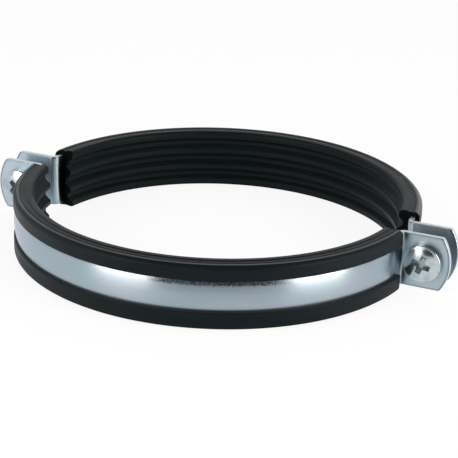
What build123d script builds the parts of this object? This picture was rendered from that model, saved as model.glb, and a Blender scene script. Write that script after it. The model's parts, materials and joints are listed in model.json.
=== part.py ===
from build123d import *
from math import sqrt
import os

# Rubber lined pipe clamp in two halves, closed by a screw through each pair of ears.
# Millimetres. The origin is the centre of the pipe bore, half way along the clamp's width.
# +Z runs along the pipe, +Y points to the rear half and its connection nut,
# and X runs through the ears and the two closing screws.

# Rubber lining
pipe_seat_radius = 68.0
rib_height = 2.2
web_thickness = 2.65
rib_pitch = 6.8
rib_crown_width = 1.7
valley_floor_width = 1.5
rib_edge_radius = 0.6
lip_thickness = 1.35
lip_edge_radius = 0.5
window_height = 11.2
window_rise = 0.4
rim_setback = 0.6
rim_crest_width = 2.8
rim_crest_radius = 1.5
rim_wall = 1.75
rim_valley_drop = 0.3
rim_bevel_width = 1.7
rim_bevel_height = 0.9
lining_clearance = 0.05

# Steel band
band_width = 20.0
band_thickness = 2.0
ear_gap = 8.4
bend_radius = 0.8
screw_stand_off = 7.9
ear_end_reach = 9.6
ear_corner_reach = 6.5
ear_corner_radius = 1.2
screw_hole_radius = 3.4

# Where the lining stops beside each pair of ears, measured from the clamp's split plane
front_lining_end = 9.2
rear_lining_end_right = 10.0
rear_lining_end_left = 6.4
lining_end_bow = 0.5
left_end_bow = 4.6

# Closing screws, with a cross recess in a low domed head
screw_radius = 2.95
screw_length = 25.0
screw_tip_chamfer = 0.8
head_radius = 6.9
head_height = 3.7
head_crown = 0.6
head_edge_radius = 0.5
recess_reach = 3.4
recess_width = 1.9
recess_depth = 2.4
recess_taper = 12.0
right_recess_turn = 18.0
left_recess_turn = 45.0

# Closing nuts, behind the rear ears
nut_bore_clearance = 0.05
nut_across_flats = 10.0
nut_height = 5.0

# Connection nut, welded to the middle of the rear band
connection_bore_radius = 3.4
connection_across_flats = 13.0
connection_height = 8.0
connection_lip_clearance = 0.8
weld_gap = 0.02

# Radii and heights that follow
valley_radius = pipe_seat_radius + rib_height
web_outer_radius = valley_radius + web_thickness
band_inner_radius = web_outer_radius + lining_clearance
band_outer_radius = band_inner_radius + band_thickness
lip_inner_radius = band_outer_radius + lining_clearance
lip_outer_radius = lip_inner_radius + lip_thickness
channel_half_height = band_width / 2 + lining_clearance
rim_top = channel_half_height + rim_wall
rim_inner_radius = pipe_seat_radius + rim_setback
upper_lip_edge = window_height / 2 + window_rise
lower_lip_edge = window_height / 2 - window_rise

# Ear faces: the inner ones look at each other across the split
ear_inner_face = ear_gap / 2
ear_outer_face = ear_inner_face + band_thickness
screw_x = band_outer_radius + screw_stand_off
ear_corner_x = screw_x + ear_corner_reach
ear_end_x = screw_x + ear_end_reach
nut_bore_radius = screw_radius + nut_bore_clearance

# The connection nut's foot reaches down beside the band's round back as far as its corners do
connection_corner_radius = connection_across_flats / sqrt(3)
connection_foot = sqrt(band_outer_radius**2 - connection_corner_radius**2)

# Longer than the whole clamp, for cuts that go right through
through = 4 * lip_outer_radius

# Corners this near a radius or a line belong to it
same_place = 0.01

os.makedirs("parts", exist_ok=True)


def ribbed_inside():
    """Points of the lining's wavy inside from the middle valley up to the rim, as radius and height."""
    flank = (rib_pitch - rib_crown_width - valley_floor_width) / 2
    half_floor = valley_floor_width / 2
    rib_start = half_floor + flank
    rib_stop = rib_start + rib_crown_width
    rim_flank = flank * (valley_radius - rim_inner_radius) / rib_height
    return [
        (valley_radius, half_floor),
        (pipe_seat_radius, rib_start),
        (pipe_seat_radius, rib_stop),
        (valley_radius, rib_pitch - half_floor),
        (valley_radius, rib_pitch + half_floor),
        (rim_inner_radius, rib_pitch + half_floor + rim_flank),
    ]


def rolled_rim(lip_edge):
    """Points of the thick rim round the band's edge and of the lip that folds over its outside.

    lip_edge is the lip's distance from the middle of the clamp's width.
    """
    rim_ridge_radius = lip_outer_radius - rim_bevel_width
    rim_crest_end = rim_inner_radius + rim_crest_width
    rim_valley_radius = (rim_ridge_radius + rim_crest_end) / 2
    rim_ridge_height = rim_top - rim_valley_drop / 2
    return [
        (rim_inner_radius, rim_top),
        (rim_crest_end, rim_top),
        (rim_valley_radius, rim_top - rim_valley_drop),
        (rim_ridge_radius, rim_ridge_height),
        (lip_outer_radius, rim_ridge_height - rim_bevel_height),
        (lip_outer_radius, lip_edge),
        (lip_inner_radius, lip_edge),
        (lip_inner_radius, channel_half_height),
        (web_outer_radius, channel_half_height),
    ]


def at_radius(vertices, radius):
    """The corners of a section that lie at one distance from the pipe's axis."""
    return [v for v in vertices if abs(v.X - radius) < same_place]


# The lining's cross-section: a C that holds the band, with two ribs and three valleys inside
upper_half = ribbed_inside() + rolled_rim(upper_lip_edge)
lower_half = ribbed_inside() + rolled_rim(lower_lip_edge)
lower_half = [(radius, -height) for radius, height in reversed(lower_half)]
with BuildSketch(Plane.XZ) as lining_section:
    with BuildLine():
        Polyline(*upper_half, *lower_half, close=True)
    make_face()
    fillet(at_radius(lining_section.vertices(), pipe_seat_radius), rib_edge_radius)
    fillet(at_radius(lining_section.vertices(), valley_radius), rib_edge_radius)
    rim_corners = at_radius(lining_section.vertices(), rim_inner_radius)
    fillet([v for v in rim_corners if abs(v.Y) > rim_top - rim_crest_radius], rim_crest_radius)
    rim_corners = at_radius(lining_section.vertices(), rim_inner_radius)
    fillet([v for v in rim_corners if abs(v.Y) < rim_top - 1.1 * rim_crest_radius], rib_edge_radius)
    fillet(at_radius(lining_section.vertices(), lip_outer_radius), lip_edge_radius)


def lining_reach(end, bow, side):
    """The part of the width that a lining covers from one end back to the middle, bowed at the cut.

    The outline lies in the YZ plane: end is the cut's distance from the split plane in the middle,
    bow is how much further off it is at the edges, side is -1 for the front half and 1 for the rear.
    """
    half = rim_top + rim_crest_radius
    with BuildSketch(Plane.YZ) as outline:
        with BuildLine():
            ThreePointArc(
                (side * (end + bow), -half),
                (side * end, 0),
                (side * (end + bow), half),
            )
            Polyline(
                (side * (end + bow), half),
                (side * 2 * lip_outer_radius, half),
                (side * 2 * lip_outer_radius, -half),
                (side * (end + bow), -half),
            )
        make_face()
    return outline.sketch


def make_lining(side, left_end, left_bow, right_end):
    """One half of the lining: the section turned about the pipe's axis, then cut off at both ends."""
    left_reach = lining_reach(left_end, left_bow, side)
    right_reach = lining_reach(right_end, lining_end_bow, side)
    with BuildPart() as reach:
        extrude(right_reach, amount=through)
        extrude(left_reach, amount=-through)
    with BuildPart() as lining:
        add(lining_section.sketch)
        revolve(axis=Axis.Z)
        add(reach.part, mode=Mode.INTERSECT)
    return lining


def make_band(side):
    """One half of the steel band: a strip bent round the pipe and out into two flat ears."""
    inner_y = side * ear_inner_face
    outer_y = side * ear_outer_face
    inner_x = sqrt(band_inner_radius**2 - ear_inner_face**2)
    outer_x = sqrt(band_outer_radius**2 - ear_outer_face**2)
    with BuildPart() as band:
        with BuildSketch() as strip:
            with BuildLine():
                ThreePointArc((-outer_x, outer_y), (0, side * band_outer_radius), (outer_x, outer_y))
                for toward in (-1, 1):
                    Line((toward * outer_x, outer_y), (toward * ear_end_x, outer_y))
                    Line((toward * ear_end_x, outer_y), (toward * ear_end_x, inner_y))
                    Line((toward * ear_end_x, inner_y), (toward * inner_x, inner_y))
                ThreePointArc((-inner_x, inner_y), (0, side * band_inner_radius), (inner_x, inner_y))
            make_face()
            outer_bends = [v for v in strip.vertices() if abs(abs(v.X) - outer_x) < same_place]
            fillet(outer_bends, bend_radius)
            inner_bends = [v for v in strip.vertices() if abs(abs(v.X) - inner_x) < same_place]
            fillet(inner_bends, bend_radius + band_thickness)
        extrude(amount=band_width / 2, both=True)
        with BuildSketch(Plane.XZ) as face_view:
            half = band_width / 2
            with BuildLine():
                Line((-ear_corner_x, half), (ear_corner_x, half))
                ThreePointArc((ear_corner_x, half), (ear_end_x, 0), (ear_corner_x, -half))
                Line((ear_corner_x, -half), (-ear_corner_x, -half))
                ThreePointArc((-ear_corner_x, -half), (-ear_end_x, 0), (-ear_corner_x, half))
            make_face()
            fillet(face_view.vertices(), ear_corner_radius)
            with Locations((-screw_x, 0), (screw_x, 0)):
                Circle(screw_hole_radius, mode=Mode.SUBTRACT)
        extrude(amount=through, both=True, mode=Mode.INTERSECT)
    return band


# Front half
front_band = make_band(-1)
front_band.part.label = "front_band"
front_lining = make_lining(-1, front_lining_end, lining_end_bow, front_lining_end)
front_lining.part.label = "front_lining"

# Rear half, whose lips are cut away round the connection nut
rear_band = make_band(1)
rear_band.part.label = "rear_band"
whole_rear_lining = make_lining(1, rear_lining_end_left, left_end_bow, rear_lining_end_right)
with BuildPart() as rear_lining:
    add(whole_rear_lining.part)
    with BuildSketch(Plane.XZ.offset(-band_inner_radius)):
        Circle(connection_corner_radius + connection_lip_clearance)
    extrude(amount=-2 * rim_top, mode=Mode.SUBTRACT)
rear_lining.part.label = "rear_lining"


def screw_end(x, y):
    """A plane across a screw's axis, facing +Y, with its X along the clamp's."""
    return Plane(origin=(x, y, 0), x_dir=(1, 0, 0), z_dir=(0, 1, 0))


def make_screw(x, turned):
    """A closing screw: domed head against the front ear, shank through both ears and the nut."""
    head_top = -ear_outer_face - head_height
    head_rim = head_top + head_crown
    screw_tip = screw_length - ear_outer_face
    with BuildPart() as screw:
        with BuildSketch() as half_section:
            with BuildLine():
                TangentArc((x, head_top), (x + head_radius, head_rim), tangent=(1, 0))
                Polyline(
                    (x + head_radius, head_rim),
                    (x + head_radius, -ear_outer_face),
                    (x + screw_radius, -ear_outer_face),
                    (x + screw_radius, screw_tip),
                    (x, screw_tip),
                    (x, head_top),
                )
            make_face()
            outer_corners = half_section.vertices().group_by(Axis.X)
            fillet(outer_corners[-1].sort_by(Axis.Y)[0], head_edge_radius)
            chamfer(outer_corners[1].sort_by(Axis.Y)[-1], screw_tip_chamfer)
        revolve(axis=Axis((x, 0, 0), (0, 1, 0)))
        with BuildSketch(screw_end(x, head_top)):
            for quarter in (0, 90):
                Rectangle(2 * recess_reach, recess_width, rotation=turned + quarter)
        extrude(amount=recess_depth, taper=recess_taper, mode=Mode.SUBTRACT)
    return screw


def make_nut(seat, across_flats, height, bore_radius):
    """A hex nut on its seat plane, with its corners turned off at 30 degrees at both ends."""
    outer_end = seat.offset(height)
    corner_cone = 60
    with BuildPart() as nut:
        with BuildSketch(seat):
            RegularPolygon(across_flats / 2, side_count=6, major_radius=False)
            Circle(bore_radius, mode=Mode.SUBTRACT)
        extrude(amount=height)
        with BuildSketch(seat):
            Circle(across_flats / 2)
        extrude(amount=height, taper=-corner_cone, mode=Mode.INTERSECT)
        with BuildSketch(outer_end):
            Circle(across_flats / 2)
        extrude(amount=-height, taper=-corner_cone, mode=Mode.INTERSECT)
    return nut


# Closing screws and the nuts that they draw against the rear ears
right_screw = make_screw(screw_x, right_recess_turn)
right_screw.part.label = "right_screw"
left_screw = make_screw(-screw_x, left_recess_turn)
left_screw.part.label = "left_screw"
right_nut = make_nut(screw_end(screw_x, ear_outer_face), nut_across_flats, nut_height, nut_bore_radius)
right_nut.part.label = "right_nut"
left_nut = make_nut(screw_end(-screw_x, ear_outer_face), nut_across_flats, nut_height, nut_bore_radius)
left_nut.part.label = "left_nut"

# Connection nut, its foot hollowed to sit on the band's round back
connection_blank = make_nut(
    screw_end(0, connection_foot),
    connection_across_flats,
    connection_height,
    connection_bore_radius,
)
with BuildPart() as connection_nut:
    add(connection_blank.part)
    Cylinder(band_outer_radius + weld_gap, band_width, mode=Mode.SUBTRACT)
connection_nut.part.label = "connection_nut"

for piece in (
    front_band,
    front_lining,
    rear_band,
    rear_lining,
    left_screw,
    right_screw,
    left_nut,
    right_nut,
    connection_nut,
):
    export_step(piece.part, f"parts/{piece.part.label}.step")
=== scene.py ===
# %% [markdown]
# # A rubber lined pipe clamp
#
# This clamp is a steel strip, bent into two half rings with flat ears, and lined with a black
# rubber section that grips both edges of the strip. A screw through each pair of ears closes
# it round the pipe, and a nut welded to its back takes the rod that holds it to the wall.
#
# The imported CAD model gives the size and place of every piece. This script dresses it: each
# piece is worked out again as a smooth surface with numpy, and gets the finish of the real one.

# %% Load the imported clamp
import json
import math

import bmesh
import bpy
import numpy as np
from mathutils import Matrix, Vector


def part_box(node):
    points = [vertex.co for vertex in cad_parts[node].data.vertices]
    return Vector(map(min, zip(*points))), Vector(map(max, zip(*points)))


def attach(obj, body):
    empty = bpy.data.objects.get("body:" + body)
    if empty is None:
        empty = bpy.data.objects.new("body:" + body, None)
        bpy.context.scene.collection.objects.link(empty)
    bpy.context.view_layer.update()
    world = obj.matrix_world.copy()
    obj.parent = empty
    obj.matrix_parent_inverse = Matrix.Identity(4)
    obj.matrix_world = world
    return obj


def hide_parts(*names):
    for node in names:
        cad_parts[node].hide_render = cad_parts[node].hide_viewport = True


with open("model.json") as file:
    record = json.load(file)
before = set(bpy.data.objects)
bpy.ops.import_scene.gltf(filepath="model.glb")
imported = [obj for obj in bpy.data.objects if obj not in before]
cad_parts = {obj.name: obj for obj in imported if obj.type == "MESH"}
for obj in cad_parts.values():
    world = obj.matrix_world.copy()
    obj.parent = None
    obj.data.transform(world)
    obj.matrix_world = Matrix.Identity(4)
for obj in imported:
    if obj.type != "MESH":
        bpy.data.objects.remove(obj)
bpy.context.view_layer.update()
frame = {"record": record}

# %% [markdown]
# ## Sizes
#
# A piece must be where the frame says, so its sizes are read from the boxes of the CAD nodes
# wherever a box tells them. What a box can't tell, such as the height of a rib inside the
# lining, is written as a value in millimetres beside the piece that first needs it.

# %% Read the sizes from the frame
MM = 0.001


def node_box(name):
    """Lowest and highest corner of a CAD node in millimetres, to a thousandth."""
    low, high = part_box(name)
    return np.round(np.array(low) / MM, 3), np.round(np.array(high) / MM, 3)


band_low, band_high = node_box("front_band")
band_outer_radius = -band_low[1]
half_width = band_high[2]
ear_inner_face = -band_high[1]
ear_end_x = band_high[0]

lining_low, lining_high = node_box("front_lining")
lip_outer_radius = -lining_low[1]
rim_top = lining_high[2]
lining_end = -lining_high[1]

screw_low, screw_high = node_box("right_screw")
screw_x = (screw_low[0] + screw_high[0]) / 2
head_radius = (screw_high[0] - screw_low[0]) / 2
head_top, screw_tip = screw_low[1], screw_high[1]

nut_low, nut_high = node_box("right_nut")
ear_outer_face = nut_low[1]
band_thickness = ear_outer_face - ear_inner_face
pipe_seat_radius = frame["record"]["mounts"][0]["dims"]["r_mm"]
print("ring radius", lip_outer_radius, "mm, ears at", ear_inner_face, "to", ear_outer_face, "mm")

# %% [markdown]
# ## Surfaces from arrays
#
# Every new piece here is a grid of points: its rows run one way over the surface and its
# columns the other way. numpy works out all the points at once from a formula, and the faces
# only join each point to its neighbours, so one small function can make them for every piece.
# Doubled points, such as those at a pole or where two grids meet, are merged afterwards, and
# the faces are then turned to point outwards.

# %% Grids and meshes
SMOOTH_UP_TO = math.radians(32)
SAME_POINT = 0.001


def grid_faces(rows, columns, close_rows=False, close_columns=False):
    """Four-sided faces that join each point of a grid to the next one along both ways."""
    index = np.arange(rows * columns).reshape(rows, columns)
    if close_rows:
        index = np.vstack([index, index[:1]])
    if close_columns:
        index = np.hstack([index, index[:, :1]])
    corners = [index[:-1, :-1], index[1:, :-1], index[1:, 1:], index[:-1, 1:]]
    return np.stack(corners, axis=-1).reshape(-1, 4)


def mend(mesh, after_cut=False):
    """Merges doubled points, turns the faces outwards and shades them smoothly.

    A Boolean can leave slivers with no area, so after a cut those are dropped as well.
    """
    shell = bmesh.new()
    shell.from_mesh(mesh)
    bmesh.ops.remove_doubles(shell, verts=shell.verts, dist=SAME_POINT * MM)
    if after_cut:
        bmesh.ops.dissolve_degenerate(shell, edges=shell.edges, dist=SAME_POINT * MM)
    bmesh.ops.recalc_face_normals(shell, faces=shell.faces)
    shell.to_mesh(mesh)
    shell.free()
    mesh.polygons.foreach_set("use_smooth", np.ones(len(mesh.polygons), bool))
    mesh.set_sharp_from_angle(angle=SMOOTH_UP_TO)


def new_piece(name, points, quads, caps=(), lay=None):
    """A mesh object from points in millimetres, four-sided faces and any larger faces, its caps.

    lay holds, for each point, how far it lies along and across the strip or the extrusion, and
    for the strip also how far it is from the nearest sheared edge.
    """
    mesh = bpy.data.meshes.new(name)
    mesh.from_pydata((points * MM).tolist(), [], quads.tolist() + list(caps))
    if lay is not None:
        attribute = mesh.attributes.new("lay", "FLOAT_VECTOR", "POINT")
        full_lay = np.zeros((len(lay), 3))
        full_lay[:, :lay.shape[1]] = lay * MM
        attribute.data.foreach_set("vector", full_lay.ravel())
    mend(mesh)
    if lay is not None:
        kept_lay = np.empty(len(mesh.vertices) * 3)
        mesh.attributes["lay"].data.foreach_get("vector", kept_lay)
        corner_points = np.empty(len(mesh.loops), int)
        mesh.loops.foreach_get("vertex_index", corner_points)
        flat_map = mesh.uv_layers.new(name="run")
        flat_map.uv.foreach_set("vector", kept_lay.reshape(-1, 3)[corner_points, :2].ravel())
    piece = bpy.data.objects.new(name, mesh)
    bpy.context.collection.objects.link(piece)
    return piece


def dress(piece, body, node, slot, *materials):
    """Rides a piece on its body in place of a CAD node, in the finishes that it is given."""
    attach(piece, body)
    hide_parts(node)
    for material in materials:
        piece.data.materials.append(material)
    print(piece.name, "has", len(piece.data.polygons), "faces and rides on", body)


# %% [markdown]
# ## Building materials with nodes
#
# A material is a small tree of nodes. One function adds a node, sets its options and fills its
# inputs, either with plain values or with nodes made before. Colours are written as the hex
# codes that a paint program shows. Those are sRGB, while Blender's sockets hold linear light,
# so one function turns the first into the second.
#
# A finish is then a stack of colours. Each layer follows a value that says where it lies, such
# as a noise or the way that a face points. A mark that needs several of these at once, such as
# "near the edge" and "on the front", lies where their fades overlap. The patterns on the strip
# and the rubber follow the lay of their meshes, so they run along a piece and not through it.

# %% Helpers for materials
def colour(hex_code):
    """An sRGB hex code as linear red, green, blue and alpha."""
    srgb = np.array([int(hex_code[i:i + 2], 16) for i in (0, 2, 4)]) / 255
    linear = np.where(srgb <= 0.04045, srgb / 12.92, ((srgb + 0.055) / 1.055) ** 2.4)
    return (*linear.tolist(), 1.0)


def add_node(tree, kind, inputs=(), **settings):
    """Adds one node with its settings, and fills its inputs by their order or by their names.

    An input takes a number, a vector, a colour's hex code or another node's output. Where it
    is given a whole node, it takes the first output that the node's settings leave in use.
    """
    node = tree.nodes.new("ShaderNode" + kind)
    for name, value in settings.items():
        setattr(node, name, value)
    to_fill = inputs.items() if isinstance(inputs, dict) else enumerate(inputs)
    for key, value in to_fill:
        if isinstance(value, bpy.types.Node):
            value = next(output for output in value.outputs if output.enabled)
        if isinstance(value, bpy.types.NodeSocket):
            tree.links.new(value, node.inputs[key])
        else:
            node.inputs[key].default_value = colour(value) if isinstance(value, str) else value
    return node


def new_material(name):
    """An empty node material and its tree."""
    material = bpy.data.materials.new(name)
    material.use_nodes = True
    material.node_tree.nodes.clear()
    return material, material.node_tree


def overlap(tree, fades):
    """Where several fades overlap: their product.

    A fade is a value and the two ends between which it goes from 0 to 1, or from one given
    share to another. Beyond the ends it is held.
    """
    share = 1.0
    for fade in fades:
        held = add_node(tree, "MapRange", fade)
        share = add_node(tree, "Math", [share, held], operation="MULTIPLY")
    return share


def layered(tree, base, layers):
    """Lays colours over a base colour, one after another.

    A layer is a value, the two ends between which it takes hold, the most that it covers and
    its colour. A Mix node's share and its two colours are its inputs 0, 6 and 7.
    """
    for value, start, end, most, shade in layers:
        share = add_node(tree, "MapRange", [value, start, end, 0.0, most])
        base = add_node(tree, "Mix", {0: share, 6: base, 7: shade}, data_type="RGBA")
    return base


def lay_pattern(tree, along, across, detail, roughness=0.5):
    """A noise that follows the lay, with so many cells to a millimetre along and across it."""
    lay = add_node(tree, "Attribute", attribute_name="lay").outputs["Vector"]
    cells = (along / MM, across / MM, 1.0)
    stretched = add_node(tree, "VectorMath", [lay, cells], operation="MULTIPLY")
    inputs = {"Vector": stretched, "Scale": 1.0, "Detail": detail, "Roughness": roughness}
    return add_node(tree, "TexNoise", inputs)


# %% [markdown]
# ## Bright zinc plate on rolled strip
#
# The strip is cold rolled steel with a thin bright zinc plate. Rolling leaves very fine lines
# along it, so it mirrors one way more than the other: across the lines a lamp is drawn out
# into a tall streak. The shader says this with Anisotropic, and its tangent comes from a UV
# map that runs along the strip. The lines themselves have 3.2 cells to a millimetre across
# the strip, so they lie about 0.3 mm apart: coarser than life, so that they just show. The
# specks on it are under a millimetre across, and a drift of tint is about 20 mm long.
#
# The clear blue finish gives the grey its cold tint, with drifts of lavender and straw where
# it is a little thicker. Two painted marks are kept as well: a ragged dark streak on the front
# half below the lining's lip, a painted dark reflection between the two lamp lobes, and a dull
# line beside each edge, painted shade under the edge that the shear rolls over. The cut edge
# has no rolling lines, so it is a second material, the same in all directions, and its paler
# colour is partly real and partly a painted highlight.

# %% Zinc-plated strip
# Where the painted dark reflection lies: below the front half's upper lip, between the lamp lobes.
dark_streak_middle, dark_streak_half_length, dark_streak_edge, dark_streak_raggedness = 30.0, 23.0, 4.4, 0.5
# Painted shade: a dull line beside each sheared edge, where the rolled-over edge shades the face.
burr_shade_start, burr_shade_end = 0.9, 0.4


def painted_dark_streak(tree, xyz, specks):
    """Painted dark reflection: a ragged dark streak on the front half, below its upper lip.

    Its height is the point's own height moved up and down by a noise. Above its lower edge it
    sets in at once and then thins towards the lip, the specks break it up, and it ends at the
    same distance on both sides of its middle.
    """
    noise = lay_pattern(tree, 1.6, 0.5, detail=4.0)
    ragged = add_node(tree, "MapRange", [noise, 0.3, 0.7, -dark_streak_raggedness, dark_streak_raggedness])
    height = add_node(tree, "Math", [xyz["Z"], 1 / MM, ragged], operation="MULTIPLY_ADD")
    offset = add_node(tree, "Math", [xyz["X"], dark_streak_middle * MM], operation="SUBTRACT")
    distance = add_node(tree, "Math", [offset], operation="ABSOLUTE")
    half_length = dark_streak_half_length * MM
    return overlap(tree, [
        (distance, half_length, 0.7 * half_length),
        (height, dark_streak_edge - 0.3, dark_streak_edge + 0.15),
        (height, dark_streak_edge + 0.4, dark_streak_edge + 1.1, 1.0, 0.55),
        (specks, 0.38, 0.56, 0.15, 1.0),
        (xyz["Y"], -20 * MM, -30 * MM),
    ])


def zinc_plated_strip():
    """Bluish metal with rolling lines, drifts of tint, a painted dark reflection and painted edge
    shade.
    """
    material, tree = new_material("zinc_plated_strip")
    place = add_node(tree, "TexCoord").outputs["Object"]
    xyz = add_node(tree, "SeparateXYZ", [place]).outputs
    lay = add_node(tree, "Attribute", attribute_name="lay").outputs["Vector"]
    from_edge = add_node(tree, "SeparateXYZ", [lay]).outputs["Z"]
    drift = lay_pattern(tree, 0.05, 0.12, detail=3.0)
    lines = lay_pattern(tree, 0.08, 3.2, detail=3.0, roughness=0.6)
    specks = lay_pattern(tree, 1.1, 1.6, detail=4.0, roughness=0.65)
    leftward = (xyz["X"], -46 * MM, -64 * MM, 0.0, 0.8)
    lavender = overlap(tree, [leftward, (xyz["Y"], -12 * MM, -20 * MM)])
    straw = overlap(tree, [leftward, (xyz["Y"], 5.2 * MM, 6.6 * MM)])
    tint = layered(tree, "9db2ba", [
        (drift, 0.35, 0.65, 1.0, "a9b3be"),
        (lavender, 0.0, 1.0, 1.0, "b9b4cc"),
        (straw, 0.0, 1.0, 1.0, "c6c8ba"),
        (lines, 0.3, 0.7, 0.35, "8da0a8"),
        (specks, 0.66, 0.78, 0.4, "727f87"),
        # painted dark reflection below the upper lip
        (painted_dark_streak(tree, xyz, specks), 0.0, 1.0, 1.0, "3c4042"),
        # painted shade beside each sheared edge
        (from_edge, burr_shade_start * MM, burr_shade_end * MM, 0.6, "65737c"),
    ])
    height = add_node(tree, "Math", [specks, 0.5, lines], operation="MULTIPLY_ADD")
    surface = add_node(tree, "BsdfPrincipled", {
        "Base Color": tint,
        "Metallic": 1.0,
        "Roughness": add_node(tree, "MapRange", [lines, 0.2, 0.8, 0.3, 0.36]),
        "Anisotropic": 0.8,
        "Anisotropic Rotation": 0.25,
        "Tangent": add_node(tree, "Tangent", direction_type="UV_MAP", uv_map="run"),
        "Normal": add_node(tree, "Bump", {"Strength": 0.12, "Distance": 0.02 * MM, "Height": height}),
    })
    add_node(tree, "OutputMaterial", [surface])
    return material


def sheared_edge():
    """The plated edge that the shear leaves: smoother than the face, with no grain, painted paler."""
    material, tree = new_material("sheared_edge")
    place = add_node(tree, "TexCoord").outputs["Object"]
    chatter = add_node(tree, "TexNoise", {"Vector": place, "Scale": 0.42 / MM, "Detail": 2.0})
    surface = add_node(tree, "BsdfPrincipled", {
        # The paler colour is partly a painted highlight: it stands in for the bright line along the
        # edge.
        "Base Color": layered(tree, "cfd9dd", [(chatter, 0.35, 0.65, 1.0, "e4ebee")]),
        "Metallic": 1.0,
        "Roughness": add_node(tree, "MapRange", [chatter, 0.3, 0.7, 0.3, 0.42]),
    })
    add_node(tree, "OutputMaterial", [surface])
    return material


strip_finish = zinc_plated_strip()
edge_finish = sheared_edge()
print("made", strip_finish.name, "and", edge_finish.name)

# %% [markdown]
# ## Zinc plate on cold headed screws and nuts
#
# Screws and nuts are pressed cold in polished dies, so under the same plate they are smoother
# than the strip and mirror what is round them. Their faint dents, a little over a millimetre
# across, have no direction, and they are read from Object coordinates, because these pieces
# have no strip to follow. Little plate gets to the bottom of a recess, so the metal there is
# a duller grey.

# %% Zinc-plated screws and nuts
def recess_shade(tree, xyz):
    """How deep a point lies in a head's recess, where little plate gets in.

    The distance from a screw's axis is the length of a vector across it. The shade lies inside
    a circle round that axis, sets in below the head's top and stops under the recess.
    """
    aside = add_node(tree, "Math", [xyz["X"]], operation="ABSOLUTE")
    aside = add_node(tree, "Math", [aside, screw_x * MM], operation="SUBTRACT")
    from_axis = add_node(tree, "CombineXYZ", [aside, 0.0, xyz["Z"]])
    radius = add_node(tree, "VectorMath", [from_axis], operation="LENGTH")
    return overlap(tree, [
        (radius, 3.8 * MM, 3.6 * MM),
        (xyz["Y"], (head_top + 0.35) * MM, (head_top + 1.1) * MM),
        (xyz["Y"], (head_top + 2.8) * MM, (head_top + 2.6) * MM),
    ])


def zinc_plated_screw():
    """Bright metal, nearly a mirror, with slight dents, a patchy sheen and a duller recess."""
    material, tree = new_material("zinc_plated_screw")
    place = add_node(tree, "TexCoord").outputs["Object"]
    xyz = add_node(tree, "SeparateXYZ", [place]).outputs
    patches = add_node(tree, "TexNoise", {"Vector": place, "Scale": 0.26 / MM, "Detail": 3.0})
    dents = add_node(tree, "TexNoise", {"Vector": place, "Scale": 0.8 / MM, "Detail": 3.0})
    in_recess = recess_shade(tree, xyz)
    tint = layered(tree, "a4b3ba", [
        (patches, 0.35, 0.65, 1.0, "c3cdd1"),
        (in_recess, 0.0, 1.0, 1.0, "a9b5ba"),
    ])
    polish = add_node(tree, "MapRange", [patches, 0.3, 0.7, 0.14, 0.24])
    surface = add_node(tree, "BsdfPrincipled", {
        "Base Color": tint,
        "Metallic": 1.0,
        "Roughness": add_node(tree, "Math", [in_recess, 0.3, polish], operation="MULTIPLY_ADD"),
        "Normal": add_node(tree, "Bump", {"Strength": 0.45, "Distance": 0.06 * MM, "Height": dents}),
    })
    add_node(tree, "OutputMaterial", [surface])
    return material


screw_finish = zinc_plated_screw()
print("made", screw_finish.name)

# %% [markdown]
# ## Extruded black rubber
#
# The lining is EPDM rubber, coloured with carbon black and pushed through a die. It is a dark
# charcoal rather than pure black, with a faint sheen, and the die draws fine lines along its
# whole length, here 0.4 mm apart, again a little coarser than life. Most of its greys are
# painted light: faces that point up are painted paler, as light from above makes them, faces
# that point down are painted near black as painted shade, the bead along each rim carries a
# painted highlight, and the outside carries a painted sheen of the lamps towards the ends, in
# soft patches. At the rear right the bevel beside the bead carries a painted sheen too. So the
# shader asks which way a face points and how far along the half it lies. Where a knife cut the
# rubber to length, the face is blacker and matt, with tears of about half a millimetre.

# %% Rubber, extruded and cut
rim_bevel_width = 1.7
ridge_radius = lip_outer_radius - rim_bevel_width
# The middle of each half, which the painted sheen of the lamps leaves out, and how far it reaches each
# way.
sheen_free_middle, sheen_free_half_length = 88.0, 24.0
rear_right = (0.8, 0.6, 0.0)


def rim_highlights(tree, place, level, xyz, upward):
    """Where the rim's bead gets a painted highlight, and the bevel beside it a painted sheen.

    The bead is a narrow band of radii round the pipe's axis, on faces that point up. The painted
    sheen lies outside it, at the top, and only far out towards the rear right.
    """
    radius = add_node(tree, "VectorMath", [level], operation="LENGTH")
    offset = add_node(tree, "Math", [radius, ridge_radius * MM], operation="SUBTRACT")
    from_ridge = add_node(tree, "Math", [offset], operation="ABSOLUTE")
    far_out = add_node(tree, "VectorMath", [place, rear_right], operation="DOT_PRODUCT")
    bead_highlight = overlap(tree, [(from_ridge, 0.6 * MM, 0.25 * MM), (upward, 0.3, 0.7)])
    # Painted sheen on the outer bevel, only towards the rear right.
    bevel_sheen = overlap(tree, [
        (radius, (ridge_radius - 0.1) * MM, (ridge_radius + 0.3) * MM),
        (far_out, 57 * MM, 69 * MM),
        (xyz["Z"], 7 * MM, 8 * MM),
        (upward, 0.2, 0.6),
    ])
    return bead_highlight, bevel_sheen


def painted_end_sheen(tree, normal, level, xyz, bloom):
    """How much painted sheen the outer face gets: most at the ends and the top, in soft patches.

    A face looks outwards where the dot product of its normal and its level place is large.
    """
    lay = add_node(tree, "Attribute", attribute_name="lay").outputs["Vector"]
    along = add_node(tree, "SeparateXYZ", [lay]).outputs["X"]
    offset = add_node(tree, "Math", [along, sheen_free_middle * MM], operation="SUBTRACT")
    distance = add_node(tree, "Math", [offset], operation="ABSOLUTE")
    outward = add_node(tree, "VectorMath", [normal, level], operation="DOT_PRODUCT")
    return overlap(tree, [
        (distance, sheen_free_half_length * MM, 3 * sheen_free_half_length * MM),
        (bloom, 0.25, 0.7, 0.3, 1.0),
        (xyz["Z"], -8 * MM, 2 * MM, 0.35, 1.0),
        (outward, 20 * MM, 60 * MM),
    ])


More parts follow.
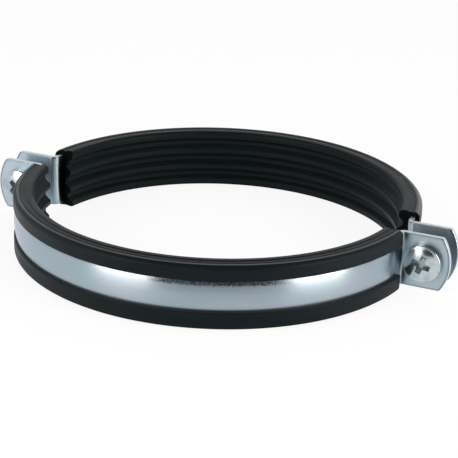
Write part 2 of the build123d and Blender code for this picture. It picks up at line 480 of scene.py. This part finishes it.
def black_rubber():
    """Charcoal rubber with die lines, and painted light on its tops, undersides, beads and ends."""
    material, tree = new_material("black_rubber")
    coordinates = add_node(tree, "TexCoord").outputs
    place, normal = coordinates["Object"], coordinates["Normal"]
    xyz = add_node(tree, "SeparateXYZ", [place]).outputs
    upward = add_node(tree, "SeparateXYZ", [normal]).outputs["Z"]
    level = add_node(tree, "VectorMath", [place, (1.0, 1.0, 0.0)], operation="MULTIPLY")
    lines = lay_pattern(tree, 0.02, 2.4, detail=3.0, roughness=0.6)
    bloom = lay_pattern(tree, 0.06, 0.3, detail=3.0)
    pits = lay_pattern(tree, 3.0, 3.0, detail=2.0)
    bead_highlight, bevel_sheen = rim_highlights(tree, place, level, xyz, upward)
    tint = layered(tree, "071316", [
        (bloom, 0.35, 0.7, 1.0, "0d191c"),
        (lines, 0.35, 0.75, 0.6, "172123"),
        # painted sheen of the soft boxes on the outer face towards the ends
        (painted_end_sheen(tree, normal, level, xyz, bloom), 0.0, 1.0, 1.0, "252b2f"),
        # painted light: faces that point up are painted paler, as light from above makes them
        (upward, 0.8, 0.97, 0.7, "313436"),
        # painted shade: faces that point down are painted near black
        (upward, -0.15, -0.6, 1.0, "010203"),
        # painted sheen on the rear right bevel, with the die lines showing through it
        (bevel_sheen, 0.0, 1.0, 1.0, layered(tree, "444a4b", [(lines, 0.0, 1.0, 1.0, "8c9392")])),
        # painted highlight along the bead on each rim
        (bead_highlight, 0.0, 1.0, 1.0, "5c5e5d"),
    ])
    downward = add_node(tree, "MapRange", [upward, -0.15, -0.6])
    satin = add_node(tree, "MapRange", [bloom, 0.3, 0.7, 0.4, 0.52])
    height = add_node(tree, "Math", [pits, 0.35, lines], operation="MULTIPLY_ADD")
    surface = add_node(tree, "BsdfPrincipled", {
        "Base Color": tint,
        "Roughness": add_node(tree, "Math", [downward, 0.45, satin], operation="MULTIPLY_ADD"),
        "IOR": 1.5,
        "Specular IOR Level": 0.1,
        "Sheen Weight": 0.03,
        "Sheen Roughness": 0.45,
        "Sheen Tint": "c4d2d8",
        "Normal": add_node(tree, "Bump", {"Strength": 0.35, "Distance": 0.06 * MM, "Height": height}),
    })
    add_node(tree, "OutputMaterial", [surface])
    return material


def cut_rubber():
    """The matt face that the knife leaves: deep black, slightly torn."""
    material, tree = new_material("cut_rubber")
    place = add_node(tree, "TexCoord").outputs["Object"]
    tears = add_node(tree, "TexNoise", {"Vector": place, "Scale": 1.8 / MM, "Detail": 3.0})
    surface = add_node(tree, "BsdfPrincipled", {
        "Base Color": layered(tree, "040505", [(tears, 0.0, 1.0, 1.0, "0b0c0d")]),
        "Roughness": 0.8,
        "Specular IOR Level": 0.08,
        "Normal": add_node(tree, "Bump", {"Strength": 0.5, "Distance": 0.1 * MM, "Height": tears}),
    })
    add_node(tree, "OutputMaterial", [surface])
    return material


rubber_finish = black_rubber()
cut_finish = cut_rubber()
print("made", rubber_finish.name, "and", cut_finish.name)

# %% [markdown]
# ## The lining's section
#
# The lining is one extruded section: a C that folds round the strip's edges, with wavy ribs
# on the pipe's side and thick rolled rims. Two beads run along each rim, a round one where
# its outer bevel begins and a fine one just inside it. An extrusion is best made as the real
# die makes it, from its cross-section. The section is a list of corners for its upper half,
# mirrored for the lower one, and every corner is then rounded by an arc that touches both
# its sides.

# %% The section and its rounded corners
rib_height, web_thickness = 2.2, 2.65
rib_pitch, rib_crown_width, valley_floor_width = 6.8, 1.7, 1.5
window_height, window_rise = 11.2, 0.4
rim_setback, rim_crest_width, rim_valley_drop, rim_bevel_height = 0.6, 2.8, 0.3, 0.9
ridge_bead_width, ridge_bead_height, ridge_bead_corner = 0.6, 0.32, 0.3
fine_bead_width, fine_bead_height, fine_bead_corner = 0.35, 0.16, 0.12
bead_gap = 1.15
inner_foot_depth, outer_foot_depth = 0.02, 0.04
clearance = 0.05
rib_corner, rim_corner, bevel_corner, lip_corner = 0.6, 1.5, 1.2, 0.5
soft_corner, knife_edge = 0.1, 0.08
points_per_corner, corner_shoulder = 5, 0.1

valley_radius = pipe_seat_radius + rib_height
web_outer_radius = valley_radius + web_thickness
rim_inner_radius = pipe_seat_radius + rim_setback
lip_inner_radius = band_outer_radius + clearance
channel_top = half_width + clearance
upper_lip_edge = window_height / 2 + window_rise
lower_lip_edge = window_height / 2 - window_rise

flank = (rib_pitch - rib_crown_width - valley_floor_width) / 2
half_floor = valley_floor_width / 2
rim_flank = flank * (valley_radius - rim_inner_radius) / rib_height
ridge_height = rim_top - rim_valley_drop
crest_end = rim_inner_radius + rim_crest_width
beads = [
    (ridge_radius - bead_gap, fine_bead_width, fine_bead_height, fine_bead_corner),
    (ridge_radius, ridge_bead_width, ridge_bead_height, ridge_bead_corner),
]


def half_section(lip_edge):
    """Corners of half the section, from the middle valley round the rim to the strip's inside.

    Each one is a radius, a height and how far the corner is rounded. Two beads stand on the
    rim, a round one at the ridge beside its outer bevel and a fine one just inside it.
    """
    corners = [
        (valley_radius, half_floor, rib_corner),
        (pipe_seat_radius, half_floor + flank, rib_corner),
        (pipe_seat_radius, half_floor + flank + rib_crown_width, rib_corner),
        (valley_radius, rib_pitch - half_floor, rib_corner),
        (valley_radius, rib_pitch + half_floor, rib_corner),
        (rim_inner_radius, rib_pitch + half_floor + rim_flank, rib_corner),
        (rim_inner_radius, rim_top, rim_corner),
        (crest_end, rim_top, soft_corner),
        (crest_end + rim_valley_drop, ridge_height, soft_corner),
    ]
    for radius, width, height, rounding in beads:
        corners += [
            (radius - width, ridge_height - inner_foot_depth, soft_corner),
            (radius, ridge_height + height, rounding),
            (radius + width, ridge_height - outer_foot_depth, soft_corner),
        ]
    corners += [
        (lip_outer_radius, ridge_height - rim_bevel_height, bevel_corner),
        (lip_outer_radius, lip_edge, lip_corner),
        (lip_inner_radius, lip_edge, knife_edge),
        (lip_inner_radius, channel_top, knife_edge),
        (web_outer_radius, channel_top, knife_edge),
    ]
    return np.array(corners)


def round_corners(corners, radii):
    """Rounds a closed outline: each corner becomes an arc tangent to both of its sides.

    The arc starts and stops at radius / tan(half the corner's angle) from the corner, and its
    centre lies on the bisector at radius / sin(half the angle). One more point on each side,
    a shoulder's width further out, keeps the shading of the arc off the flat beside it.
    """
    to_last = np.roll(corners, 1, axis=0) - corners
    to_next = np.roll(corners, -1, axis=0) - corners
    to_last /= np.linalg.norm(to_last, axis=1, keepdims=True)
    to_next /= np.linalg.norm(to_next, axis=1, keepdims=True)
    half_angle = np.arccos(np.sum(to_last * to_next, axis=1)) / 2
    setback = (radii / np.tan(half_angle))[:, None]
    bisector = to_last + to_next
    bisector /= np.linalg.norm(bisector, axis=1, keepdims=True)
    centre = corners + bisector * (radii / np.sin(half_angle))[:, None]
    start, stop = corners + to_last * setback - centre, corners + to_next * setback - centre
    turn = (math.pi - 2 * half_angle)[:, None, None]
    share = np.linspace(0, 1, points_per_corner)[None, :, None]
    arcs = np.sin((1 - share) * turn) * start[:, None] + np.sin(share * turn) * stop[:, None]
    arcs = centre[:, None] + arcs / np.sin(turn)
    first = corners + to_last * (setback + corner_shoulder)
    last = corners + to_next * (setback + corner_shoulder)
    return np.concatenate([first[:, None], arcs, last[:, None]], axis=1).reshape(-1, 2)


lower_section = half_section(lower_lip_edge)[::-1] * (1, -1, 1)
section_corners = np.concatenate([half_section(upper_lip_edge), lower_section])
section = round_corners(section_corners[:, :2], section_corners[:, 2])
print("the lining's section has", len(section), "points")

# %% [markdown]
# ## Turning the section round the pipe
#
# Each half of the lining is the section carried round half a circle. The cut ends aren't
# radial: the knife cut straight across beside the ears, and the rubber bulges a little there,
# so the angle at which a point of the section ends is the arcsine of the cut's distance from
# the split over that point's radius. At the back the lips are trimmed round the welded nut.

# %% The two halves of the lining
end_bow, left_end_bow = 0.5, 4.6
rear_lining_end_right, rear_lining_end_left = 10.0, 6.4
bow_height = rim_top + rim_corner
lip_clearance = 0.8
degrees_per_column = 1.0

welded_low, welded_high = node_box("connection_nut")
welded_corner_radius = (welded_high[0] - welded_low[0]) / 2


def end_angle(distance, bow, radius, height):
    """Angle from the split to a cut end, which bows towards the ears half way up the section."""
    return np.arcsin((distance + bow * (height / bow_height) ** 2) / radius)


def trim_lips(radius, height, x):
    """Pulls the lips' edges back to a circle round the welded nut, and leaves their roots in place."""
    notch = welded_corner_radius + lip_clearance
    lip_edge = np.where(height > 0, upper_lip_edge, lower_lip_edge)
    edge = np.sqrt(np.maximum(notch**2 - x**2, lip_edge**2))
    root = ridge_height - rim_bevel_height
    pulled = root - (root - np.abs(height)) * (root - edge) / (root - lip_edge)
    on_lip = (radius > band_outer_radius) & (np.abs(height) < root)
    return np.where(on_lip, np.sign(height) * pulled, height)


def lining_half(name, side, right_end, left_end, left_bow, trimmed=False):
    """The section swept from the right-hand cut to the left-hand one, closed by two cut faces."""
    radius, height = section[:, :1], section[:, 1:]
    first = end_angle(right_end, end_bow, radius, height)
    last = math.pi - end_angle(left_end, left_bow, radius, height)
    columns = int(180 / degrees_per_column) + 1
    share = np.linspace(0, 1, columns)[None, :]
    angle = first + (last - first) * share
    x, y = radius * np.cos(angle), side * radius * np.sin(angle)
    z = height + np.zeros_like(angle)
    if trimmed:
        z = trim_lips(radius + np.zeros_like(angle), z, x)
    points = np.stack([x, y, z], axis=-1).reshape(-1, 3)
    steps = np.linalg.norm(np.roll(section, -1, axis=0) - section, axis=1)
    across = np.concatenate([[0], np.cumsum(steps)[:-1]])[:, None] + np.zeros_like(angle)
    lay = np.stack([angle * band_outer_radius, across], axis=-1).reshape(-1, 2)
    quads = grid_faces(len(section), columns, close_rows=True)
    rows = np.arange(len(section)) * columns
    piece = new_piece(name, points, quads, [rows.tolist(), (rows + columns - 1).tolist()], lay)
    sides = np.empty(len(piece.data.polygons), np.int32)
    piece.data.polygons.foreach_get("loop_total", sides)
    piece.data.polygons.foreach_set("material_index", (sides > 4).astype(np.int32))
    return piece


front_rubber = lining_half("front_rubber", -1, lining_end, lining_end, end_bow)
rear_rubber = lining_half(
    "rear_rubber", 1, rear_lining_end_right, rear_lining_end_left, left_end_bow, trimmed=True
)
dress(front_rubber, "front_half", "front_lining", "black_rubber", rubber_finish, cut_finish)
dress(rear_rubber, "rear_half", "rear_lining", "black_rubber", rubber_finish, cut_finish)

# %% [markdown]
# ## The bent strip and its ears
#
# Each half of the band is one strip of 2 mm steel, bent twice. The easiest true form is its
# middle surface, a sheet with no thickness: an arc round the pipe, a tight bend at each end
# and a flat ear. Between the lips the arc swells into a low crown with a shoulder on each
# side, a parabola across the window plus a smooth step, and both fade away before the bends.
# Solidify then gives the sheet its 2 mm, half to each side, and Bevel takes off the sharp
# sheared edges. Round each hole the ear's grid runs in rings from the hole out to the ear's
# outline, so that both are true curves and no face has to be cut.

# %% The strip's middle surface
bend_radius = 0.8
ear_corner_reach, ear_corner_radius = 6.5, 1.2
screw_hole_radius = 3.4
edge_round, rounded_above = 0.22, math.radians(60)
crown_height, shoulder_drop, crown_fade = 0.9, 0.35, 10.0
shoulder_start, shoulder_end = 4.1, 5.7
first_level, inner_levels = 0.6, 41
arc_points, bend_points = 173, 15
edge_points, ear_corner_points, end_points = 14, 6, 24
ring_shares = np.array([0.0, 0.06, 0.3, 0.6, 0.9, 1.0])

ear_bow = ear_end_x - (screw_x + ear_corner_reach)
end_radius = (half_width**2 + ear_bow**2) / (2 * ear_bow)
end_centre = ear_end_x - end_radius
middle_radius = band_outer_radius - band_thickness / 2
middle_bend = bend_radius + band_thickness / 2
ear_middle = ear_inner_face + band_thickness / 2
bend_centre_y = ear_middle + middle_bend
bend_centre_x = math.sqrt((middle_radius + middle_bend) ** 2 - bend_centre_y**2)
split_angle = math.asin(bend_centre_y / (middle_radius + middle_bend))

levels = np.linspace(first_level - half_width, half_width - first_level, inner_levels)
levels = np.concatenate([[-half_width], levels, [half_width]])


def strip_path():
    """Where the strip's middle runs from one ear to the other, as x, depth and distance along."""
    bend = np.linspace(math.pi / 2, math.pi - split_angle, bend_points)
    bend_x = bend_centre_x + middle_bend * np.cos(bend)
    bend_depth = bend_centre_y - middle_bend * np.sin(bend)
    ring = np.linspace(split_angle, math.pi - split_angle, arc_points)[1:-1]
    x = np.concatenate([bend_x, middle_radius * np.cos(ring), -bend_x[::-1]])
    depth = np.concatenate([bend_depth, middle_radius * np.sin(ring), bend_depth[::-1]])
    steps = np.hypot(np.diff(x), np.diff(depth))
    return x, depth, np.concatenate([[0], np.cumsum(steps)])


def ear_outline():
    """An ear's outline from its bend, along its edge, round its bowed end and back, in x and z.

    The end is a circle through the two corners and the end's middle, and a smaller circle
    rounds each corner: it touches the strip's edge and lies inside the end's circle.
    """
    corner_z = half_width - ear_corner_radius
    corner_x = end_centre + math.sqrt((end_radius - ear_corner_radius) ** 2 - corner_z**2)
    reach = math.atan2(corner_z, corner_x - end_centre)
    edge_x = np.linspace(bend_centre_x, corner_x, edge_points)[1:-1]
    turn = np.linspace(math.pi / 2, reach, ear_corner_points)
    end = np.linspace(reach, -reach, end_points)[1:-1]
    top = np.column_stack([edge_x, np.full_like(edge_x, half_width)])
    corner = np.column_stack([np.cos(turn), np.sin(turn)]) * ear_corner_radius + (corner_x, corner_z)
    bowed = np.column_stack([end_centre + end_radius * np.cos(end), end_radius * np.sin(end)])
    lower = np.concatenate([top, corner])[::-1] * (1, -1)
    inner = np.column_stack([np.full_like(levels, bend_centre_x), levels])
    return np.concatenate([inner, top, corner, bowed, lower])


def ear_sheet():
    """An ear as rings from the screw's hole out to the outline, as x and z."""
    outline = ear_outline()
    centre = np.array([screw_x, 0.0])
    outward = outline - centre
    reach = np.linalg.norm(outward, axis=1, keepdims=True)
    hole = outward / reach * screw_hole_radius
    return centre + hole + (outward - hole) * ring_shares[:, None, None]


def smooth_step(value, start, end):
    """Rises from 0 at start to 1 at end without a kink: 3 share squared less 2 share cubed."""
    share = np.clip((value - start) / (end - start), 0, 1)
    return share * share * (3 - 2 * share)


def crown(depth):
    """How far the strip swells outwards, for each point along it and each level across it.

    Across the window it is a parabola plus a step down at each shoulder, and along the strip
    both fade away before the bends.
    """
    from_middle = np.abs(levels - window_rise)
    parabola = np.clip(1 - (from_middle / shoulder_end) ** 2, 0, 1)
    on_top = 1 - smooth_step(from_middle, shoulder_start, shoulder_end)
    past_bend = smooth_step(depth, bend_centre_y, bend_centre_y + crown_fade)
    return past_bend[:, None] * (crown_height * parabola + shoulder_drop * on_top)


def strip_half(name, side):
    """One half of the band: the bent strip and its two ears, as one sheet given a thickness."""
    x, depth, along = strip_path()
    scale = 1 + crown(depth) / np.hypot(x, depth)[:, None]
    grid = np.broadcast_arrays(x[:, None] * scale, side * depth[:, None] * scale, levels)
    lay = np.broadcast_arrays(along[:, None], levels, half_width - np.abs(levels))
    points = [np.stack(grid, axis=-1).reshape(-1, 3)]
    lays = [np.stack(lay, axis=-1).reshape(-1, 3)]
    quads = [grid_faces(len(x), len(levels))]
    ear = ear_sheet()
    reach, level = ear[..., 0], ear[..., 1]
    from_end = end_radius - np.hypot(reach - end_centre, level)
    from_edge = np.clip(np.minimum(half_width - np.abs(level), from_end), 0, None)
    run = reach - bend_centre_x
    for toward, ear_run in ((1, -run), (-1, along[-1] + run)):
        flat = np.broadcast_arrays(toward * reach, side * ear_middle, level)
        quads.append(grid_faces(*reach.shape, close_columns=True) + sum(map(len, points)))
        points.append(np.stack(flat, axis=-1).reshape(-1, 3))
        lays.append(np.stack([ear_run, level, from_edge], axis=-1).reshape(-1, 3))
    points, quads, lays = map(np.concatenate, (points, quads, lays))
    piece = new_piece(name, points, quads, lay=lays)
    wall = piece.modifiers.new("wall", "SOLIDIFY")
    wall.thickness = band_thickness * MM
    wall.offset = 0
    wall.use_even_offset = True
    wall.material_offset_rim = 1
    rounding = piece.modifiers.new("sheared_edges", "BEVEL")
    rounding.width = edge_round * MM
    rounding.segments = 2
    rounding.limit_method = "ANGLE"
    rounding.angle_limit = rounded_above
    return piece


front_strip = strip_half("front_strip", -1)
rear_strip = strip_half("rear_strip", 1)
dress(front_strip, "front_half", "front_band", "zinc_plated_strip", strip_finish, edge_finish)
dress(rear_strip, "rear_half", "rear_band", "zinc_plated_strip", strip_finish, edge_finish)

# %% [markdown]
# ## Screw threads
#
# A thread is a ridge that climbs one pitch in each turn. On a grid of turns and heights its
# radius depends only on how far a point is from the nearest crest, measured along the axis
# after taking off the climb of its own angle. The same formula, with a little clearance,
# gives the thread inside the nut, so the two mesh as the real ones do. Angles here run from
# +Z towards +X, which is the right-hand way round an axis along +Y.

# %% The thread's formula and turned surfaces
thread_pitch, thread_depth, thread_flat = 1.0, 0.61, 0.08
turns = np.linspace(0, 2 * math.pi, 72, endpoint=False)[None, :]


def thread_radius(y, major, pitch, depth):
    """Radius of a thread at each height and angle, with a narrow flat on its crests and roots."""
    climb = (y - pitch * turns / (2 * math.pi)) / pitch
    from_root = np.abs(2 * (climb - np.floor(climb)) - 1)
    flank = np.clip((from_root - thread_flat) / (1 - 2 * thread_flat), 0, 1)
    return major - depth + depth * flank


def turned_points(x, radius, y):
    """Points at those radii and heights round an axis along Y at x."""
    radius, y = np.broadcast_arrays(radius, y)
    return np.stack([x + radius * np.sin(turns), y, radius * np.cos(turns)], axis=-1).reshape(-1, 3)


# %% [markdown]
# ## The closing screws
#
# The head is a low dome with a soft shoulder, as a cold header leaves it, and the shank is
# threaded to its tip. Both are one turned surface. The cross recess is punched by a tapered
# bit, so it is made the same way: a cutter in the form of the bit's end is taken out of the
# head by a Boolean, which is applied at once so that no cutter is left.

# %% Screw bodies and recesses
head_crown, head_shoulder = 1.25, 0.5
dome_points, shoulder_points, shoulder_first_angle = 12, 7, 0.12
foot_rise, foot_inset = np.array([0.35, 0.12, 0, 0]), np.array([0, 0.04, 0.2, 0.4])
shank_radius, tip_chamfer, rows_per_pitch = 2.95, 0.8, 14
recess_reach, recess_width, recess_depth = 3.4, 1.9, 2.4
recess_corner = 0.62
right_recess_turn, left_recess_turn = math.radians(18), math.radians(45)
head_seat = -ear_outer_face


def head_profile():
    """Radius and height from the dome's pole, over the shoulder and down to the seat."""
    dome_radius = np.linspace(0, head_radius - head_shoulder, dome_points)
    dome = head_top + head_crown * (dome_radius / head_radius) ** 2
    turn = np.linspace(shoulder_first_angle, math.pi / 2, shoulder_points)
    shoulder_radius = head_radius - head_shoulder * (1 - np.sin(turn))
    shoulder = dome[-1] + head_shoulder * (1 - np.cos(turn))
    foot_radius = head_radius - foot_inset
    radius = np.concatenate([dome_radius, shoulder_radius, foot_radius, [shank_radius]])
    y = np.concatenate([dome, shoulder, head_seat - foot_rise, [head_seat]])
    return radius[:, None], y[:, None]


def shank_profile():
    """The threaded shank, from the head's seat to the flat end of its chamfered tip."""
    y = np.arange(head_seat, screw_tip, thread_pitch / rows_per_pitch)[:, None]
    radius = thread_radius(y, shank_radius, thread_pitch, thread_depth)
    radius = np.minimum(radius, shank_radius - tip_chamfer + (screw_tip - y))
    flat_end = np.array([shank_radius - tip_chamfer, 0])[:, None] + np.zeros_like(turns)
    ends = np.full((2, turns.shape[1]), screw_tip)
    return np.concatenate([radius, flat_end]), np.concatenate([y + np.zeros_like(turns), ends])


def cross_cutter(x, angle):
    """The end of a cross bit: four arms that narrow with depth, down to a blunt end.

    Each arm has two corners at its tip and shares the corner between it and the next arm.
    Quarter turns of one arm give the four, and the whole is turned about the screw's axis.
    """
    depth = np.array([-1.0, 0.5, 1.5, recess_depth, recess_depth])
    reach = recess_reach * np.array([1.06, 1.0, 0.86, 0.55, 0.0])
    width = recess_width * np.array([1.08, 1.0, 0.86, 0.7, 0.0])
    quarter = np.arange(4) * math.pi / 2
    cosine, sine = np.cos(quarter)[:, None], np.sin(quarter)[:, None]
    out = np.stack([reach, reach, width * recess_corner])
    up = np.stack([-width / 2, width / 2, width * recess_corner])
    across = (out[:, None] * cosine - up[:, None] * sine).transpose(2, 1, 0).reshape(len(depth), -1)
    rise = (out[:, None] * sine + up[:, None] * cosine).transpose(2, 1, 0).reshape(len(depth), -1)
    x_turned = x + across * math.cos(angle) + rise * math.sin(angle)
    z_turned = rise * math.cos(angle) - across * math.sin(angle)
    y = head_top + depth[:, None] + np.zeros_like(across)
    points = np.stack([x_turned, y, z_turned], axis=-1).reshape(-1, 3)
    quads = grid_faces(*across.shape, close_columns=True)
    return new_piece("cutter", points, quads, caps=[list(range(across.shape[1]))])


def take_out(piece, cutter):
    """Cuts one closed mesh out of another, mends the slivers and deletes the cutter."""
    cut = piece.modifiers.new("cut", "BOOLEAN")
    cut.object = cutter
    cut.solver = "EXACT"
    shown = piece.evaluated_get(bpy.context.evaluated_depsgraph_get())
    mesh = bpy.data.meshes.new_from_object(shown)
    piece.modifiers.clear()
    piece.data = mesh
    mend(mesh, after_cut=True)
    bpy.data.objects.remove(cutter)


def closing_screw(name, x, recess_turn):
    """Head and shank as one turned surface, with the cross taken out of the head."""
    head_rows, head_y = head_profile()
    shank_rows, shank_y = shank_profile()
    radius = np.concatenate([head_rows + np.zeros_like(turns), shank_rows])
    y = np.concatenate([head_y + np.zeros_like(turns), shank_y])
    points = turned_points(x, radius, y)
    piece = new_piece(name, points, grid_faces(*radius.shape, close_columns=True))
    take_out(piece, cross_cutter(x, recess_turn))
    return piece


right_closing_screw = closing_screw("right_closing_screw", screw_x, right_recess_turn)
left_closing_screw = closing_screw("left_closing_screw", -screw_x, left_recess_turn)
dress(right_closing_screw, "right_screw", "right_screw", "zinc_plated_screw", screw_finish)
dress(left_closing_screw, "left_screw", "left_screw", "zinc_plated_screw", screw_finish)

# %% [markdown]
# ## Hex nuts
#
# A hexagon's radius at any angle is half its width across the flats over the cosine of the
# angle to the nearest flat's middle. The corners are turned off by a 30 degree cone at both
# ends, so the true radius is the smaller of the hexagon's and the cone's, and that alone
# draws the curved edges that a real nut has on each flat. The grid runs up the outside,
# across the end, down the threaded bore and back to where it began.

# %% Closing nuts and the welded nut
countersink, bore_rows = 0.4, 110
cone_slope = math.tan(math.radians(60))
cone_rows = np.array([0, 0.12, 0.25, 0.38, 0.55])[:, None]
nut_clearance, weld_gap = 0.05, 0.02
core_radius, welded_pitch, welded_thread_depth = 3.4, 1.25, 0.62


def hexagon_radius(across_flats):
    """Radius of a hexagon with flats that face up and down, at each angle."""
    from_flat = np.mod(turns + math.pi / 6, math.pi / 3) - math.pi / 6
    return across_flats / 2 / np.cos(from_flat)


def hex_nut(name, x, across_flats, foot, top, thread):
    """A threaded nut from its foot, a height at each angle and radius, to its flat top."""
    lower = np.minimum(hexagon_radius(across_flats), across_flats / 2 + cone_rows * cone_slope)
    upper = lower[::-1]
    upper_y = top - cone_rows[::-1] + np.zeros_like(turns)
    side_y = np.concatenate([foot(lower) + cone_rows, upper_y])
    share = np.linspace(0, 1, bore_rows)[:, None]
    bore_foot = foot(np.full_like(turns, core_radius))
    bore_y = top + (bore_foot - top) * share
    from_end = np.minimum(top - bore_y, bore_y - bore_foot)
    bore = thread(bore_y)
    bore = np.maximum(bore, bore.max() + countersink - from_end)
    radius = np.concatenate([lower, upper, bore])
    y = np.concatenate([side_y, bore_y])
    quads = grid_faces(*radius.shape, close_rows=True, close_columns=True)
    return new_piece(name, turned_points(x, radius, y), quads)


def flat_foot(radius):
    """The closing nuts stand on the flat outer face of the rear ears."""
    return np.full_like(radius, ear_outer_face)


def round_foot(radius):
    """The welded nut's foot follows the band's round back."""
    return np.sqrt((band_outer_radius + weld_gap) ** 2 - (radius * np.sin(turns)) ** 2)


def closing_thread(y):
    """The closing screw's own thread, opened by the clearance."""
    return thread_radius(y, shank_radius + nut_clearance, thread_pitch, thread_depth)


def welded_thread(y):
    """A coarse M8 thread, cut outwards from its core."""
    return thread_radius(y, core_radius + welded_thread_depth, welded_pitch, welded_thread_depth)


closing_across = nut_high[2] - nut_low[2]
welded_across = welded_high[2] - welded_low[2]
for hand, x in (("right", screw_x), ("left", -screw_x)):
    nut = hex_nut(f"{hand}_closing_nut", x, closing_across, flat_foot, nut_high[1], closing_thread)
    dress(nut, "rear_half", f"{hand}_nut", "zinc_plated_screw", screw_finish)
welded_nut = hex_nut("welded_nut", 0.0, welded_across, round_foot, welded_high[1], welded_thread)
dress(welded_nut, "rear_half", "connection_nut", "zinc_plated_screw", screw_finish)

# %% [markdown]
# ## The table
#
# The clamp lies on its side on a white table, with the rims of its lining on the surface. The
# table is a plain white sheet. Part of its white is its own light for rays from the camera
# and for mirrored rays, so that it reads as clean white in the picture and in the metal, and
# the rest is lit as any surface is, which keeps the clamp's shadow under it.

# %% Floor
floor_size = 4000.0
floor_glow, floor_glow_share = 1.1, 0.8


def white_table():
    """White matt surface that glows a little for the camera and for reflections."""
    material, tree = new_material("white_table")
    path = add_node(tree, "LightPath").outputs
    seen = add_node(tree, "Math", [path["Is Camera Ray"], path["Is Glossy Ray"]], operation="ADD")
    seen = add_node(
        tree, "Math", [seen, path["Is Transmission Ray"]], operation="ADD", use_clamp=True
    )
    share = add_node(tree, "Math", [seen, floor_glow_share], operation="MULTIPLY")
    lit = add_node(tree, "BsdfDiffuse", {"Color": "f0f0f0"})
    glow = add_node(tree, "Emission", {"Color": "ffffff", "Strength": floor_glow})
    mix = add_node(tree, "MixShader", [share, lit, glow])
    add_node(tree, "OutputMaterial", [mix])
    return material


floor_corners = np.array([(-1, -1), (1, -1), (1, 1), (-1, 1)]) * floor_size / 2
floor_points = np.column_stack([floor_corners, np.full(4, -rim_top)])
floor = new_piece("table", floor_points, np.array([[0, 1, 2, 3]]))
floor.data.materials.append(white_table())

# %% [markdown]
# ## The camera
#
# The picture was taken from in front and a little to the right, from about 21 degrees above
# the table. A long lens keeps the ring's ellipse calm. The camera looks along its own -Z, so
# its three axes are worked out from the azimuth, the elevation and a slight roll, and put
# into one matrix with its place. The lamps and the room use the same function for directions.

# %% Camera
camera_azimuth, camera_elevation, camera_roll = np.radians([23.411, 21.387, 1.893])
camera_distance = 540.28
camera_shift_right, camera_shift_up = 4.527, -4.678
camera_lens = 112.26
sensor_width = 36.0


def direction(azimuth, elevation):
    """The way from the clamp to a point at that azimuth, counted from -Y towards +X."""
    level = math.cos(elevation)
    return np.array([math.sin(azimuth) * level, -math.cos(azimuth) * level, math.sin(elevation)])


def look_axes(azimuth, elevation, roll):
    """The camera's right, up and back directions, and its place in millimetres."""
    back = direction(azimuth, elevation)
    right = np.array([math.cos(azimuth), math.sin(azimuth), 0.0])
    up = np.cross(back, right)
    rolled_right = right * math.cos(roll) + up * math.sin(roll)
    rolled_up = up * math.cos(roll) - right * math.sin(roll)
    place = back * camera_distance + right * camera_shift_right + up * camera_shift_up
    return rolled_right, rolled_up, back, place


right_way, up_way, back_way, camera_place = look_axes(camera_azimuth, camera_elevation, camera_roll)
camera_data = bpy.data.cameras.new("camera")
camera_data.sensor_width = sensor_width
camera_data.lens = camera_lens
camera_data.clip_start, camera_data.clip_end = 0.01, 20.0
camera = bpy.data.objects.new("camera", camera_data)
camera_matrix = np.identity(4)
camera_matrix[:3] = np.column_stack([right_way, up_way, back_way, camera_place * MM])
camera.matrix_world = Matrix(camera_matrix.tolist())
bpy.context.collection.objects.link(camera)
bpy.context.scene.camera = camera
print("camera at", np.round(camera_place, 1), "mm")

# %% [markdown]
# ## The light
#
# Two soft boxes, slightly warm, stand well to the left and right of the camera, near the
# table. On the crowned strip each of them draws one bright lobe, with a calmer grey between.
# The room is dark between them, on the camera's side, and pale at the sides and behind the
# clamp, so that the domed heads and the strip's shoulders have something dark to mirror as
# well. The camera itself sees a plain white.

# %% Soft boxes and the room
box_elevation, box_distance, box_width, box_height = math.radians(16), 800.0, 420.0, 440.0


def soft_box(name, swing, radiance):
    """A rectangular lamp that faces the clamp, swung to one side of the camera.

    Its power is radiance times area times pi.
    """
    lamp = bpy.data.lights.new(name, "AREA")
    lamp.shape = "RECTANGLE"
    lamp.size, lamp.size_y = box_width * MM, box_height * MM
    lamp.energy = radiance * math.pi * lamp.size * lamp.size_y
    lamp.color = colour("ffeee7")[:3]
    lamp_object = bpy.data.objects.new(name, lamp)
    toward_lamp = Vector(direction(camera_azimuth + swing, box_elevation))
    lamp_object.location = toward_lamp * box_distance * MM
    lamp_object.rotation_euler = (-toward_lamp).to_track_quat("-Z", "Y").to_euler()
    bpy.context.collection.objects.link(lamp_object)


def studio_room():
    """The world: white for the camera, and for all other rays a pale room, dark on its side."""
    world = bpy.data.worlds.new("room")
    world.use_nodes = True
    tree = world.node_tree
    tree.nodes.clear()
    ray = add_node(tree, "TexCoord").outputs["Generated"]
    upward = add_node(tree, "SeparateXYZ", [ray]).outputs["Z"]
    toward_camera = tuple(direction(camera_azimuth, 0.0))
    forward = add_node(tree, "VectorMath", [ray, toward_camera], operation="DOT_PRODUCT")
    walls = layered(tree, "45494c", [
        (forward, 0.75, 0.2, 1.0, "f4f6f7"),
        (upward, 0.55, 0.9, 1.0, "83888b"),
    ])
    room = add_node(tree, "Background", {"Color": walls, "Strength": 1.0})
    white = add_node(tree, "Background", {"Color": "ffffff", "Strength": 1.0})
    seen = add_node(tree, "LightPath").outputs["Is Camera Ray"]
    mix = add_node(tree, "MixShader", [seen, room, white])
    add_node(tree, "OutputWorld", [mix])
    bpy.context.scene.world = world


soft_box("left_box", swing=math.radians(-48), radiance=5.5)
soft_box("right_box", swing=math.radians(55), radiance=6.5)
studio_room()
bpy.context.scene.view_settings.view_transform = "Standard"
